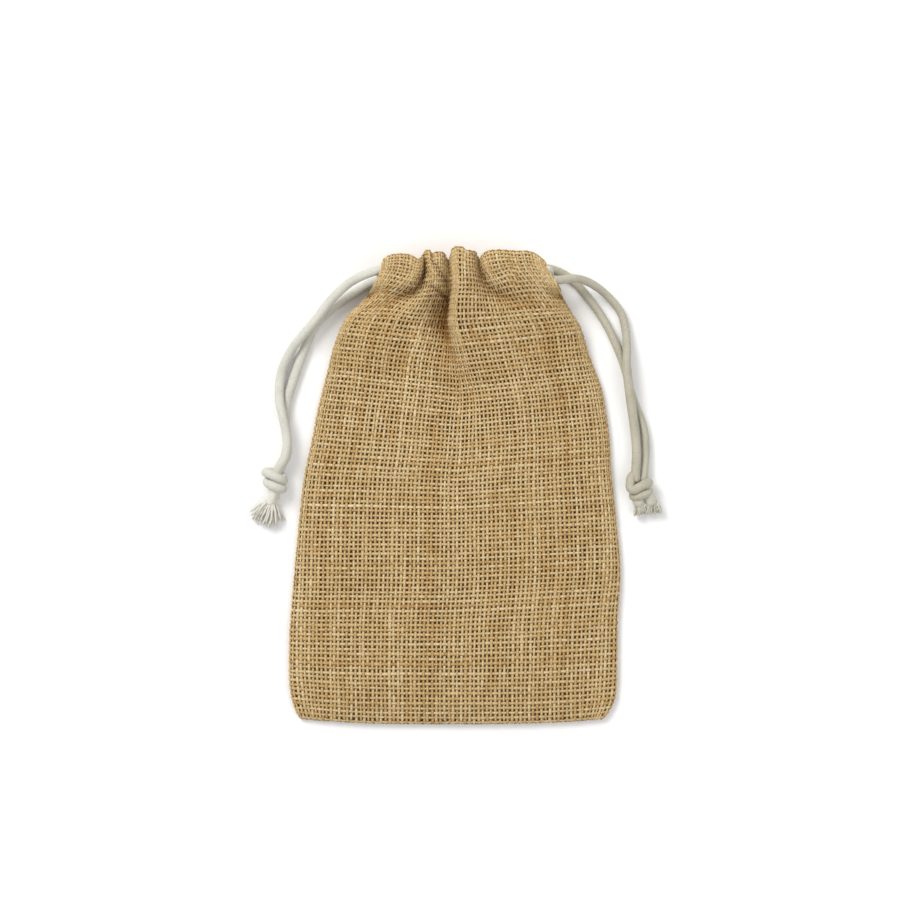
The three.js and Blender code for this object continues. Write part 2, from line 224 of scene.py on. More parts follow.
# ---------- materials ----------
class Nodes:
    """A material's node tree, with a short way to add and join nodes."""

    def __init__(self, name):
        self.material = bpy.data.materials.new(name)
        self.material.use_nodes = True
        self.tree = self.material.node_tree
        self.shader = self.tree.nodes["Principled BSDF"]

    def add(self, kind, settings=None, **inputs):
        node = self.tree.nodes.new(kind)
        for key, value in (settings or {}).items():
            setattr(node, key, value)
        for key, value in inputs.items():
            self.put(node.inputs[key], value)
        return node

    def put(self, socket, value):
        if isinstance(value, bpy.types.NodeSocket):
            self.tree.links.new(value, socket)
        else:
            socket.default_value = value

    def attribute(self, name):
        return self.add("ShaderNodeAttribute", {"attribute_name": name}).outputs["Fac"]

    def math(self, operation, a, b):
        node = self.add("ShaderNodeMath", {"operation": operation})
        self.put(node.inputs[0], a)
        self.put(node.inputs[1], b)
        return node.outputs[0]

    def times(self, value, factor):
        return self.math("MULTIPLY", value, factor)

    def plus(self, a, b):
        return self.math("ADD", a, b)

    def vector(self, x, y, z):
        return self.add("ShaderNodeCombineXYZ", X=x, Y=y, Z=z).outputs[0]

    def noise(self, vector, scale, detail=2.0, roughness=0.5):
        node = self.add("ShaderNodeTexNoise", Vector=vector, Scale=scale, Detail=detail, Roughness=roughness)
        return node.outputs["Fac"]

    def ramp(self, factor, stops):
        node = self.add("ShaderNodeValToRGB", Fac=factor)
        while len(node.color_ramp.elements) < len(stops):
            node.color_ramp.elements.new(0.5)
        for element, (place, colour) in zip(node.color_ramp.elements, stops):
            element.position = place
            element.color = (*colour, 1)
        return node.outputs["Color"]

    def finish(self, colour, roughness, height, depth, strength=1.0):
        bump = self.add("ShaderNodeBump", Height=height, Distance=depth, Strength=strength)
        self.put(self.shader.inputs["Base Color"], colour)
        self.put(self.shader.inputs["Roughness"], roughness)
        self.put(self.shader.inputs["Normal"], bump.outputs[0])
        return self.material


PAINTED_SHADING_CONTRAST = 0.14  # painted light and shade: how much paler the side of a yarn facing out of the pouch is than the side facing in


def yarn_material(name, dark, mid, light, sheen):
    """Spun yarn. The mesh carries its tone, the distance along it, the place round it and its painted shading,
    paler on a yarn's outward side and darker on its inward side and in folds.
    """
    n = Nodes(name)
    tone, along, around = n.attribute("tone"), n.attribute("along"), n.attribute("around")
    twisted = n.plus(n.times(along, 0.55), around)
    fibre = n.noise(n.vector(n.times(along, 0.35), n.times(twisted, 9.0), tone), 1.0, 3.0, 0.6)
    patch = n.noise(n.vector(n.times(along, 0.12), n.times(tone, 40.0), 0.0), 1.0, 2.0)
    level = n.plus(n.plus(n.times(fibre, 0.42), n.times(patch, 0.34)), n.times(tone, 0.30))
    # painted shading from the mesh lightens or darkens the yarn's colour
    level = n.plus(level, n.times(n.attribute("painted_shading"), PAINTED_SHADING_CONTRAST))
    colour = n.ramp(level, [(0.28, dark), (0.52, mid), (0.78, light)])
    rough = n.plus(n.times(fibre, 0.2), 0.72)
    n.shader.inputs["Sheen Weight"].default_value = sheen
    n.shader.inputs["Specular IOR Level"].default_value = 0.25
    return n.finish(colour, rough, fibre, 0.00012, 0.8)


def cotton_material(name, base, shade):
    """Knitted cotton cord. The mesh carries the distance along the cord and the place round it."""
    n = Nodes(name)
    along, around = n.attribute("along"), n.attribute("around")
    stitch = n.noise(n.vector(n.times(along, 1.4), n.times(around, 9.0), 0.0), 1.0, 2.0)
    fluff = n.noise(n.vector(n.times(along, 3.5), n.times(around, 16.0), 3.0), 1.0, 4.0, 0.65)
    worn = n.noise(n.vector(n.times(along, 0.1), around, 7.0), 1.0, 2.0)
    level = n.plus(n.times(stitch, 0.5), n.times(worn, 0.5))
    colour = n.ramp(level, [(0.3, shade), (0.55, base), (0.8, tuple(min(1, c * 1.06) for c in base))])
    rough = n.plus(n.times(fluff, 0.15), 0.8)
    n.shader.inputs["Sheen Weight"].default_value = 0.15
    n.shader.inputs["Specular IOR Level"].default_value = 0.2
    return n.finish(colour, rough, fluff, 0.00015, 0.7)


JUTE = yarn_material("jute_yarn", (0.28, 0.118, 0.023), (0.485, 0.318, 0.125), (0.72, 0.60, 0.37), 0.1)
THREAD = yarn_material("sewing_thread", (0.33, 0.22, 0.10), (0.50, 0.37, 0.19), (0.66, 0.52, 0.31), 0.05)
COTTON_L = cotton_material("cotton_left", (0.60, 0.59, 0.53), (0.49, 0.475, 0.42))
COTTON_R = cotton_material("cotton_right", (0.47, 0.445, 0.355), (0.36, 0.335, 0.26))
LOOSE_L = cotton_material("cotton_loose_left", (0.70, 0.68, 0.61), (0.58, 0.56, 0.50))
LOOSE_R = cotton_material("cotton_loose_right", (0.58, 0.555, 0.47), (0.46, 0.435, 0.36))

# ---------- outline of the pouch, x at each y ----------
EDGE_Y = [-91.5, -90.5, -86.6, -82.8, -75, -56, -37, -17, 2, 13.5, 25, 33, 40, 48, 56, 63.5, 71, 76.5, 83, 91]
LEFT_X = [
    -58.6, -59.7, -61.4, -62.4, -63.3, -62.9, -61.4, -59.5, -57.2, -54.5,
    -52.2, -50.2, -48.3, -46.4, -43.7, -40.2, -34.1, -29.8, -27.3, -27.1,
]
RIGHT_X = [
    57.9, 59.2, 61.8, 63.1, 63.7, 63.9, 64.9, 63.3, 61.2, 60.6,
    59.1, 57.6, 55.2, 52.2, 49.9, 46.4, 42.9, 40.2, 37.0, 35.8,
]
RIM = [
    (-27.2, 84.3), (-26, 86.5), (-23, 88), (-19.5, 88.3), (-16, 87.8), (-13.2, 86.3), (-12.1, 86.7),
    (-11.4, 87.9), (-10, 89.8), (-8.6, 89.7), (-7.9, 88.4), (-7.1, 88.7), (-5, 89.1), (-3.2, 88.5),
    (-2.3, 86.8), (-1.5, 85.8), (-0.7, 87.8), (0.3, 90.2), (2, 91), (4, 90.7), (5.2, 89.6), (8.5, 89.1),
    (9.8, 87.1), (10.4, 86.3), (11.6, 88), (14, 89.4), (18, 89.7), (21, 89.5), (25, 89.3), (28, 89.4),
    (31, 88.7), (34, 86.7), (36, 84.7), (37, 83.1),
]
BOTTOM_Y = -91.5
FOLD_Y = 90.3  # where the cloth turns in at the mouth, before the lobes lift or drop it
STITCH_Y = 73.5  # the stitches that close the cord tunnels


def left_edge(y):
    return smooth_curve(EDGE_Y, LEFT_X, y)


def right_edge(y):
    return smooth_curve(EDGE_Y, RIGHT_X, y)


def side_edge(side, y):
    return left_edge(y) if side < 0 else right_edge(y)


# ---------- folds: x, y, depth, reach on the west side, reach on the east side, from the rim down ----------
CENTRE_VALLEY = [
    (-1.2, 92, 5.4, 2.6, 1.2), (-1.0, 86, 5.6, 2.8, 1.3), (-0.8, 80, 6.0, 3.4, 1.4),
    (-1.0, 75, 7.4, 4.2, 1.5), (-1.8, 69, 10.4, 6.6, 1.2), (-2.4, 63, 10.2, 7.2, 1.3),
    (-1.4, 56, 6.8, 7.6, 2.2), (0.6, 48, 4.4, 9.0, 3.6), (3.6, 38, 2.6, 10.5, 6.0), (6, 28, 1.2, 11, 8),
    (8, 14, 0, 11, 11),
]
LEFT_VALLEY = [
    (-10.8, 92, 4.0, 1.3, 1.6), (-10.6, 86, 6.2, 1.0, 1.4), (-11.0, 82, 6.4, 1.1, 1.9),
    (-12.8, 78, 5.6, 1.5, 2.8), (-15.5, 75.4, 5.6, 1.7, 3.6), (-19, 73, 4.8, 2.2, 4.6),
    (-24, 69.5, 3.2, 3.4, 5.6), (-31, 62, 1.6, 5, 7.5), (-38, 52, 0, 6, 9),
]
RIGHT_VALLEY = [
    (10.0, 92, 4.2, 1.9, 1.3), (10.3, 87, 5.2, 2.2, 1.3), (10.9, 83.3, 5.4, 2.6, 1.4),
    (12.3, 79.2, 5.4, 3.2, 1.5), (14.9, 75.6, 5.2, 4.0, 1.8), (19, 72.6, 4.2, 4.8, 2.2),
    (24.5, 70.2, 3.0, 6, 3.0), (31, 68.6, 1.6, 7, 3.5), (38, 68, 0, 7, 4),
]
SMALL_PLEATS = [
    [
        (-8.2, 92, 1.8, 0.6, 0.8), (-7.7, 87, 2.4, 0.7, 0.8), (-6.2, 84, 2.6, 0.8, 1.0),
        (-3.4, 79.6, 2.6, 0.8, 1.1), (-1.2, 75.8, 2.0, 0.8, 1.1), (-0.4, 73, 0, 1, 1),
    ],
    [
        (-11.4, 79, 0, 0.8, 1.0), (-9.7, 77.4, 1.6, 0.8, 1.0), (-5.6, 74.6, 2.4, 0.8, 1.0),
        (-2.2, 72, 2.2, 0.8, 1.0), (0, 70, 0, 1, 1),
    ],
]
SHOULDER_FOLDS = [
    [(-24, 70, 0, 4, 4), (-33, 54, -1.6, 5, 6), (-40, 34, -1.2, 7, 8), (-45, 8, 0, 9, 9)],
    [(-12, 72, 0, 3, 3), (-17, 60, 1.5, 4, 4), (-21, 44, 1.0, 6, 6), (-25, 22, 0, 8, 8)],
    [(17, 70, 0, 3, 3), (20, 56, -1.2, 6, 5), (24, 38, -0.9, 8, 8), (27, 12, 0, 9, 9)],
    [(30, 68, 0, 4, 4), (37, 52, 1.4, 5, 5), (43, 32, 1.1, 7, 7), (48, 4, 0, 9, 9)],
]


def groove(x, y, fold):
    """Depth of a fold at points of the plane: deepest on its line, falling off to each side."""
    nearest = np.full(x.shape, 1e9)
    depth = np.zeros(x.shape)
    for (ax, ay, *a), (bx, by, *b) in zip(fold[:-1], fold[1:]):
        dx, dy = bx - ax, by - ay
        t = np.clip(((x - ax) * dx + (y - ay) * dy) / (dx * dx + dy * dy), 0, 1)
        away = np.hypot(x - ax - t * dx, y - ay - t * dy)
        west = dx * (y - ay) - dy * (x - ax) < 0
        deep, wide_w, wide_e = (a[k] + t * (b[k] - a[k]) for k in range(3))
        value = deep * np.exp(-((away / np.where(west, wide_w, wide_e)) ** 1.7))
        closer = away < nearest
        depth = np.where(closer, value, depth)
        nearest = np.minimum(nearest, away)
    return depth


def front_folds(x, y):
    total = sum(groove(x, y, fold) for fold in (CENTRE_VALLEY, LEFT_VALLEY, RIGHT_VALLEY, *SMALL_PLEATS))
    total = np.minimum(total, 7.2 + 3.2 * smoothstep(-y, -76, -71))
    total += sum(groove(x, y, fold) for fold in SHOULDER_FOLDS)
    hollow = 2.0 * np.exp(-(((x + 7) / 6) ** 2) - ((y - 66) / 8) ** 2)
    return total + hollow


def edge_gap(x, y):
    """Distance to the nearer side edge."""
    return np.minimum(x - left_edge(y), right_edge(y) - x)


def seam_height(y):
    return 1.5 + 4.6 * smoothstep(y, 36, 73)


def front_height(x, y):
    """Middle of the front panel's cloth."""
    near_neck = smoothstep(y, 30, 72)
    gap = np.clip(edge_gap(x, y), 0, None)
    roll_width, roll = 2.6 + 2.2 * near_neck, 1.5 + 3.4 * near_neck
    rolled = roll * np.sqrt(1 - (1 - np.clip(gap / roll_width, 0, 1)) ** 2)
    from_bottom = y - BOTTOM_Y
    bottom_roll = np.sqrt(1 - (1 - np.clip(from_bottom / 2.6, 0, 1)) ** 2)
    rise = (6.6 - 2.4 * near_neck) * (1 - np.exp(-gap / 15)) * (1 - np.exp(-from_bottom / 17))
    relief = 0.55 * waves(x, y, 5, 52) * smoothstep(gap, 0, 14) * smoothstep(from_bottom, 0, 16)
    return seam_height(y) + rolled * bottom_roll + rise + relief * (1 - 0.5 * near_neck)


def hem_outer(t):
    """Height the hem adds, t from 0 at the stitches to 1 at the fold; its rise starts below the stitches."""
    lift = smoothstep(t, -1.1, 0.45)
    drop = np.sqrt(np.clip(1 - np.clip((t - 0.45) / 0.55, 0, 1) ** 2.4, 0, 1))
    return np.where(t < 0.45, 3.9 * lift, 1.3 + 2.6 * drop)


def hem_inner(t):
    """Height of the hem's inner wall."""
    drop = np.sqrt(np.clip(1 - np.clip((t - 0.72) / 0.28, 0, 1) ** 2.4, 0, 1))
    return 1.5 - 3.2 * drop * smoothstep(t, 0.0, 0.25) - 2.2 * (1 - smoothstep(t, 0.0, 0.25))


# Rounding of each lobe of the gathered hem: middle, half width, how much its middle stands out.
LOBES = [(-19.2, 9.0, 1.6), (-9.4, 2.6, 0.5), (-4.8, 3.0, 0.5), (4.4, 6.0, 1.5), (23.5, 14.0, 1.7)]


def lobe_rounding(x):
    return sum(tall * np.clip(1 - ((x - middle) / half) ** 2, 0, None) for middle, half, tall in LOBES)


# ---------- the woven panels ----------
ENDS = 79
MOUTH_LEFT_X, MOUTH_RIGHT_X = -27.2, 37.0
BODY_ROWS = 201  # half a pick each; the last is a crosswise yarn that lies in the fold at the rim
HEM_ROWS = 19
FOLD_CLOSING = 2.0
HALF_PICK = (FOLD_Y - BOTTOM_Y + FOLD_CLOSING) / BODY_ROWS
CORNER_Y = -78.0
CORNER_REACH = 15.0  # how far in from the sides the yarns give way to the corners
LEAN_PASSES = 180  # how gradually the lengthwise yarns move sideways as the cloth gathers
SPLIT_END = 37  # the lengthwise yarn at which a panel is parted into its left and right halves


def yarn_columns(x_fine, z_fine, bunching):
    """x of evenly spread yarns along one row of the cloth, closer together where it bunches."""
    step = np.hypot(np.diff(x_fine), np.diff(z_fine))
    weight = step * 0.5 * (bunching[1:] + bunching[:-1])
    total = np.append(0, np.cumsum(weight))
    return np.interp(np.linspace(0, total[-1], 2 * ENDS + 1), total, x_fine)


def towards_fold(rows):
    """y of rows counted from the fold at the rim, where they close up as the cloth turns over."""
    far = HALF_PICK * np.asarray(rows, float)
    return FOLD_Y - far * far / (far + FOLD_CLOSING)


def straight_into_corners(x, rows_y):
    """Below CORNER_Y the lengthwise yarns run straight down; only the outer ones give way to the corners."""
    first = int(np.searchsorted(rows_y, CORNER_Y))
    level = x[first]
    out = x.copy()
    for row, y in enumerate(rows_y[:first]):
        out[row] = level
        for side in (-1, 1):
            corner = side_edge(side, CORNER_Y)
            away = side * (corner - level)
            out[row] += (side_edge(side, y) - corner) * np.clip(1 - away / CORNER_REACH, 0, 1)
    return out


def panel_grid(is_front):
    """Points of the cloth's middle, two rows to a pick and two columns to an end, the hem turned in."""
    rows_y = towards_fold(BODY_ROWS - np.arange(BODY_ROWS + 1))
    height = front_surface if is_front else back_surface
    columns = []
    for y in rows_y:
        x = np.linspace(left_edge(y), right_edge(y), 700)
        z = height(x, np.full(x.shape, y))
        gap = edge_gap(x, y)
        bunching = 1 + 0.9 * smoothstep(y, -60, 0) * np.exp(-((gap / 2.6) ** 2))
        if is_front:
            ridge = smooth_curve([20, 38, 48, 56, 63, 75, 92], [9, 7.5, 4.6, 2.6, 1.0, 1.0, 0.4], y)
            wide = smooth_curve([20, 50, 75, 92], [5, 3, 1.6, 1.2], y)
            bunching = bunching + 0.8 * smoothstep(y, 22, 55) * np.exp(-(((x - ridge) / wide) ** 2))
            steep = np.abs(np.gradient(z, x))
            bunching = bunching * (1 + 0.2 * np.clip(steep, 0, 2) * smoothstep(y, 40, 70))
        columns.append((yarn_columns(x, z, bunching) - left_edge(y)) / (right_edge(y) - left_edge(y)))
    v = np.repeat(rows_y[:, None], len(columns[0]), axis=1)
    share = smoothed(np.array(columns), LEAN_PASSES)
    x = straight_into_corners(left_edge(v) + share * (right_edge(v) - left_edge(v)), rows_y)
    outer = np.stack([x, v + row_shift(x, v, is_front), height(x, v)], -1)
    inner_v = towards_fold(np.arange(1, HEM_ROWS + 1) + 0.4)
    inner_x = np.array([[np.interp(w, rows_y, x[:, k]) for k in range(x.shape[1])] for w in inner_v])
    inner_x += 0.55 * smoothstep(FOLD_Y - inner_v, 0, 3)[:, None]
    w = np.repeat(inner_v[:, None], x.shape[1], axis=1)
    top = front_inner if is_front else back_inner
    inner = np.stack([inner_x, w + row_shift(inner_x, w, is_front) - 0.25, top(inner_x, w)], -1)
    return np.vstack([outer, inner])


def rim_height(x, is_front):
    places, heights = zip(*RIM)
    rim = smooth_curve(places, heights, x)
    return rim if is_front else np.minimum(rim, 89.3) - 0.3


def row_shift(x, v, is_front):
    """How far the crosswise yarns are pushed up or down from straight rows."""
    at_rim = smoothstep(v, 79, FOLD_Y)
    shift = (rim_height(x, is_front) - FOLD_Y) * at_rim
    bow = (2.0 * np.abs(x / 58) ** 3 - 1.2) * (1 - smoothstep(v, BOTTOM_Y, BOTTOM_Y + 35))
    hang = bow + 0.11 * (np.abs(x - 2) - 20) * smoothstep(v, -25, 45) * (1 - smoothstep(v, 58, 74))
    if not is_front:
        return shift + hang
    left = -0.32 * (x + 20) * np.exp(-(((x + 20) / 8) ** 2)) * smoothstep(v, 58, 76) * (1 - at_rim)
    right = 0.2 * (x - 24) * np.exp(-(((x - 24) / 9) ** 2)) * smoothstep(v, 60, 76) * (1 - at_rim)
    right = right + 0.33 * (x - 16) * np.exp(-(((x - 17.5) / 6) ** 4)) * smoothstep(v, 72, 79) * (1 - at_rim)
    slant = 0.045 * np.clip(x, 0, None) * smoothstep(v, -85, -50) * (1 - smoothstep(v, -10, 40))
    return shift + hang + left + right + slant


def neck_level(x, v):
    """The front's cloth at and above the stitches, where it no longer rolls down at the sides."""
    level = np.full(np.shape(x), STITCH_Y)
    open_x = np.clip(x, MOUTH_LEFT_X + 6, MOUTH_RIGHT_X - 6)
    share = smoothstep(v, STITCH_Y - 1.5, STITCH_Y + 3)
    return front_height(x, level) * (1 - share) + front_height(open_x, level) * share


def front_surface(x, v):
    t = (v - STITCH_Y) / (FOLD_Y - STITCH_Y)
    pinch = 0.35 * np.exp(-(((v - STITCH_Y) / 1.8) ** 2))
    pinch = pinch * smoothstep(x, -25, -17) * (1 - smoothstep(x, 25, 32))
    base = np.where(v < STITCH_Y - 1.5, front_height(x, np.minimum(v, STITCH_Y)), neck_level(x, v))
    rounding = lobe_rounding(x) * smoothstep(v, 60, 80)
    in_hem = smoothstep(v, STITCH_Y - 1.5, STITCH_Y + 3)
    bump = hem_outer(t) * (in_hem + (1 - in_hem) * smoothstep(edge_gap(x, v), 0, 8))
    return base - front_folds(x, v) + bump + rounding - pinch


CORD_SPAN = 4.0  # how far to each side of a fold the cord in the hem dips to pass under it


def front_inner(x, v):
    """The front hem's inner wall, which hangs below the cord."""
    t = (v - STITCH_Y) / (FOLD_Y - STITCH_Y)
    deepest = np.max([front_folds(x + away, v) for away in np.linspace(-CORD_SPAN, CORD_SPAN, 7)], axis=0)
    inside = smoothstep(FOLD_Y - v, 0.3, 3.6)
    folds = np.minimum(front_folds(x, v) * (1 - inside) + deepest * inside, 6.8)
    return neck_level(x, np.full(np.shape(x), FOLD_Y)) - folds + hem_inner(t) + 0.6 * lobe_rounding(x)


BACK_PLEATS = [(-19, 1.6), (-8, 2.1), (3, 1.8), (15, 2.2), (27, 1.6)]


def back_folds(x, v):
    total = np.zeros(x.shape)
    for place, tall in BACK_PLEATS:
        spread = 1 + 0.55 * np.clip((73 - v) / 40, 0, None)
        away = (x - 5 - (place - 5) * spread) / (1.5 + 2.5 * smoothstep(73 - v, 0, 45))
        total += tall * np.exp(-(away**2)) * smoothstep(v, 18, 66)
    return total


def back_surface(x, v):
    """Middle of the back panel's cloth: flat on the table, curling up to the seams, pleated at the neck."""
    y = np.minimum(v, STITCH_Y)
    near_neck = smoothstep(y, 36, 73)
    gap = np.clip(edge_gap(x, y), 0, None)
    width = 4.0 + 1.5 * near_neck
    curl = (seam_height(y) - 0.9) * (1 - np.clip(gap / width, 0, 1)) ** 2
    curl = curl * (1 - smoothstep(v, STITCH_Y, STITCH_Y + 4))
    low = 0.6 * (1 - np.clip((y - BOTTOM_Y) / 3, 0, 1)) ** 2
    relief = 0.3 * (waves(x, y, 11, 40) + 1) * smoothstep(gap, 0, 10)
    t = np.clip((v - STITCH_Y) / (FOLD_Y - STITCH_Y), 0, 1)
    fold = 2.1 * (1 - np.sqrt(np.clip(1 - np.clip((t - 0.5) / 0.5, 0, 1) ** 2.4, 0, 1)))
    lift = 0.5 * np.exp(-(((v - STITCH_Y) / 2.5) ** 2))
    return 0.75 + curl + low + relief + 0.5 * back_folds(x, v) + fold + lift


def back_inner(x, v):
    t = np.clip((v - STITCH_Y) / (FOLD_Y - STITCH_Y), 0, 1)
    rise = np.sqrt(np.clip(1 - np.clip((t - 0.72) / 0.28, 0, 1) ** 2.4, 0, 1)) * smoothstep(t, 0, 0.3)
    return 2.9 + 2.6 * rise - 0.9 * (1 - smoothstep(t, 0, 0.3)) + 0.3 * back_folds(x, v)


YARN_SIDES = 5
YARN_W = 0.53  # half the width of a yarn
BACK_YARN_W = 0.66
YARN_H = 0.24  # half its thickness
WEAVE = 0.22  # how far a yarn rises and dips to pass its neighbours
# shifts the painted shading darker overall
PAINTED_SHADING_OFFSET = 0.35
FOLD_PAINTED_SHADE = 0.6  # painted shade: how much darker the cloth is for each millimetre it lies below its surroundings
# the deepest sinking that still adds painted shade, in millimetres
SUNK_MOST = 2.6


def yarn_families(grid, seed, yarn_w=YARN_W):
    """Centre lines, directions, sizes and tones of the lengthwise and crosswise yarns of a plain weave."""
    rng = np.random.default_rng(seed)
    lengthways, crossways = np.gradient(grid, axis=0), np.gradient(grid, axis=1)
    normal = unit(np.cross(crossways, lengthways))
    # how far the cloth lies below its smoothed surroundings, which sets the painted shade in folds
    level = smoothed(smoothed(grid[..., 2], 60), 60, axis=1)
    sunk = np.clip(level - grid[..., 2], 0, SUNK_MOST)[..., None]
    families = []
    for is_warp, runs in ((True, lengthways), (False, crossways)):
        if is_warp:
            centres, up, run, deep = (a[:, 1::2].swapaxes(0, 1) for a in (grid, normal, unit(runs), sunk))
        else:
            centres, up, run, deep = (a[1::2] for a in (grid, normal, unit(runs), sunk))
        count, rings = centres.shape[:2]
        side = unit(np.cross(run, up))
        over = np.where(np.arange(count) % 2 == 0, 1.0, -1.0)[:, None] * (1 if is_warp else -1)
        wave = over * np.sin(0.5 * math.pi * np.arange(rings))
        shift = 0.15 * soft_noise(rng, (count, rings), 30) + 0.06 * rng.standard_normal((count, 1))
        thick = 1 + 0.2 * soft_noise(rng, (count, rings), 8) + 0.08 * rng.standard_normal((count, 1))
        thick = np.clip(thick, 0.6, 1.55)
        spacing = np.linalg.norm(np.roll(centres, 1, axis=0) - centres, axis=-1)
        spacing[0] = spacing[1]
        room = np.clip(spacing / 1.63, 0.72, 1.05)
        row = np.arange(rings)[None] if is_warp else (2 * np.arange(count) + 1)[:, None]
        room = room * (1 + 0.3 * np.exp(-(((row - BODY_ROWS) / 3) ** 2)))
        ends = np.ones(rings)
        ends[[0, -1]] = 0.4
        tone = 0.5 + 0.11 * rng.standard_normal((count, 1)) + 0.16 * soft_noise(rng, (count, rings), 5)
        tone = np.clip(tone + 0.12 * soft_noise(rng, (count, rings), 60), 0, 1)
        length = np.cumsum(np.linalg.norm(np.diff(centres, axis=1, prepend=centres[:, :1]), axis=-1), axis=1)
        families.append(
            {
                "middle": centres + up * (WEAVE * wave)[..., None] + side * shift[..., None],
                "side": side,
                "up": up,
                "wide": yarn_w * thick * room * ends,
                "tall": YARN_H * thick * ends,
                "tone": tone,
                "deep": deep[..., 0],
                "along": length + 37.0 * np.arange(count)[:, None],
            }
        )
    return families


ALL = slice(None)


def yarn_tubes(yarns, lines, rings, outward=1):
    """Points, faces and facts of some of a family's yarns, over some of their length."""
    y = {key: values[lines, rings] for key, values in yarns.items()}
    points, faces = tubes(y["middle"], y["side"], y["up"], y["wide"], y["tall"], YARN_SIDES, math.pi / 2)
    # painted light and shade: paler on the side of each yarn facing out of the pouch, darker on the side facing
    # in
    painted_shading = outward * np.cos(2 * math.pi * np.arange(YARN_SIDES) / YARN_SIDES) - PAINTED_SHADING_OFFSET
    # painted shade in folds: darker the further the cloth lies below its surroundings
    painted_shading = painted_shading - FOLD_PAINTED_SHADE * y["deep"][..., None]
    return points, faces, tube_facts(y["along"], YARN_SIDES, y["tone"]) | {"painted_shading": painted_shading.ravel()}


def joined(name, parts, material):
    """One object from several sets of points, faces and facts."""
    points, faces, facts, offset = [], [], {}, 0
    for p, q, f in parts:
        points.append(p)
        faces.append(q + offset)
        offset += len(p)
        for key, values in f.items():
            facts.setdefault(key, []).append(values)
    facts = {key: np.concatenate(values) for key, values in facts.items()}
    return build(name, np.vstack(points), np.vstack(faces), material, facts)


def woven_half(name, families, first_end, last_end, outward):
    """The part of a panel between two lengthwise yarns; its crosswise yarns reach one yarn further."""
    warps, wefts = families
    from_column = max(0, 2 * first_end - 1)
    if from_column:
        wefts = {key: values.copy() for key, values in wefts.items()}
        wefts["wide"][:, from_column : from_column + 3] *= 0.8
        wefts["tall"][:, from_column : from_column + 3] *= 0.6
    parts = [
        yarn_tubes(warps, slice(first_end, last_end), ALL, outward),
        yarn_tubes(wefts, ALL, slice(from_column, 2 * last_end + 2), outward),
    ]
    return joined(name, parts, JUTE)


# ---------- where the mouth gathers; the halves are baked where they lie ---
GATHER_MIDDLE = (4.9, 80.0, 0.0)
GATHER_RUN = (16.66, 16.04)


def gathers(thing, side):
    """Bakes thing's placement into its mesh; the end of the gathering at the left (-1) or right (1) side is
    worked out but not used.
    """
    end = (GATHER_MIDDLE[0] + side * GATHER_RUN[0], GATHER_MIDDLE[1] + GATHER_RUN[1], 0.0)
    start, end = ([c * MM for c in p] for p in (GATHER_MIDDLE, end))
    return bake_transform(thing)


def gathered_cloth(name, first_end, last_end, families, nodes):
    side = -1 if first_end == 0 else 1
    cloth = woven_half(name, families, first_end, last_end, 1 if name.startswith("front") else -1)
    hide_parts(*nodes)
    gathers(cloth, side)


# ---------- sewing: stitches, seam allowances and bar tacks ----------
STITCH_LENGTH = 3.4
THREAD_R = 0.24
THREAD_RINGS, THREAD_SIDES = 9, 6


def stitches(places, lift):
    """Points, faces and facts of stitches along a line on the cloth, bulging to one side by lift."""
    along = along_line(places)
    count = int(along[-1] / STITCH_LENGTH)
    share = np.linspace(0.07, 0.93, THREAD_RINGS)
    at = (np.arange(count)[:, None] + share) * STITCH_LENGTH
    lines = np.stack([np.interp(at, along, places[:, k]) for k in range(3)], -1)
    lines[..., 2] += lift * np.sin(math.pi * np.linspace(0, 1, THREAD_RINGS)) ** 0.5 - math.copysign(0.35, lift)
    run = unit(np.gradient(lines, axis=1))
    up = np.broadcast_to(np.array([0.0, 0.0, 1.0]), run.shape)
    side = unit(np.cross(run, up))
    points, faces = tubes(lines, side, np.cross(side, run), THREAD_R, THREAD_R, THREAD_SIDES)
    return points, faces, tube_facts(at, THREAD_SIDES)


def hem_stitches(is_front, side):
    x = np.linspace(4.9, 35.0 if side > 0 else -25.5, 90)
    y = np.full(x.shape, STITCH_Y)
    surface = front_surface(x, y) if is_front else back_surface(x, y)
    y = y + row_shift(x, y, is_front)
    offset, lift = (0.45, 0.35) if is_front else (-0.45, -0.35)
    name = f"{'front' if is_front else 'back'}_hem_stitches_{'right' if side > 0 else 'left'}"
    piece = joined(name, [stitches(np.stack([x, y, surface + offset], -1), lift)], THREAD)
    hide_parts(f"{'front' if is_front else 'back'}_hem_stitch")
    return gathers(piece, side)


ALLOWANCE_FROM, ALLOWANCE_W = 1.3, 6.0
ALLOWANCE_Y = (-78.0, 64.0)
ALLOWANCE_X = (-50, 50)  # the bottom allowance
SEAM_IN = 2.2  # distance of the seams from the pouch's edge


def between(x, y):
    """Halfway between the two panels."""
    return 0.5 * (front_surface(x, y) + back_surface(x, y))


def seam_line(x, y):
    """The stitches of a seam, which lie on its allowance."""
    return stitches(np.stack([x, y, between(x, y) + 0.3], -1), 0.25)


def side_seam(side):
    """The turned-in allowance of a side seam, between the panels, and the stitches that hold it."""
    label = "left" if side < 0 else "right"
    y = np.linspace(*ALLOWANCE_Y, 159)[:, None]
    inward = np.linspace(ALLOWANCE_FROM, ALLOWANCE_FROM + ALLOWANCE_W, 9)
    x = side_edge(side, y) - side * inward
    x = x if side < 0 else x[:, ::-1]
    y = np.broadcast_to(y, x.shape)
    grid = np.stack([x, y, between(x, y)], -1)
    families = yarn_families(grid, seed=21 + side)
    allowance = joined(f"{label}_seam_allowance_cloth", [yarn_tubes(f, ALL, ALL) for f in families], JUTE)
    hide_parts(f"{label}_seam_allowance")
    gathers(allowance, side)
    y = np.linspace(*ALLOWANCE_Y, 120)
    x = side_edge(side, y) - side * SEAM_IN
    thread = joined(f"{label}_seam_stitches", [seam_line(x, y)], THREAD)
    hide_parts(f"{label}_seam_thread")
    gathers(thread, side)
    return [allowance, thread]


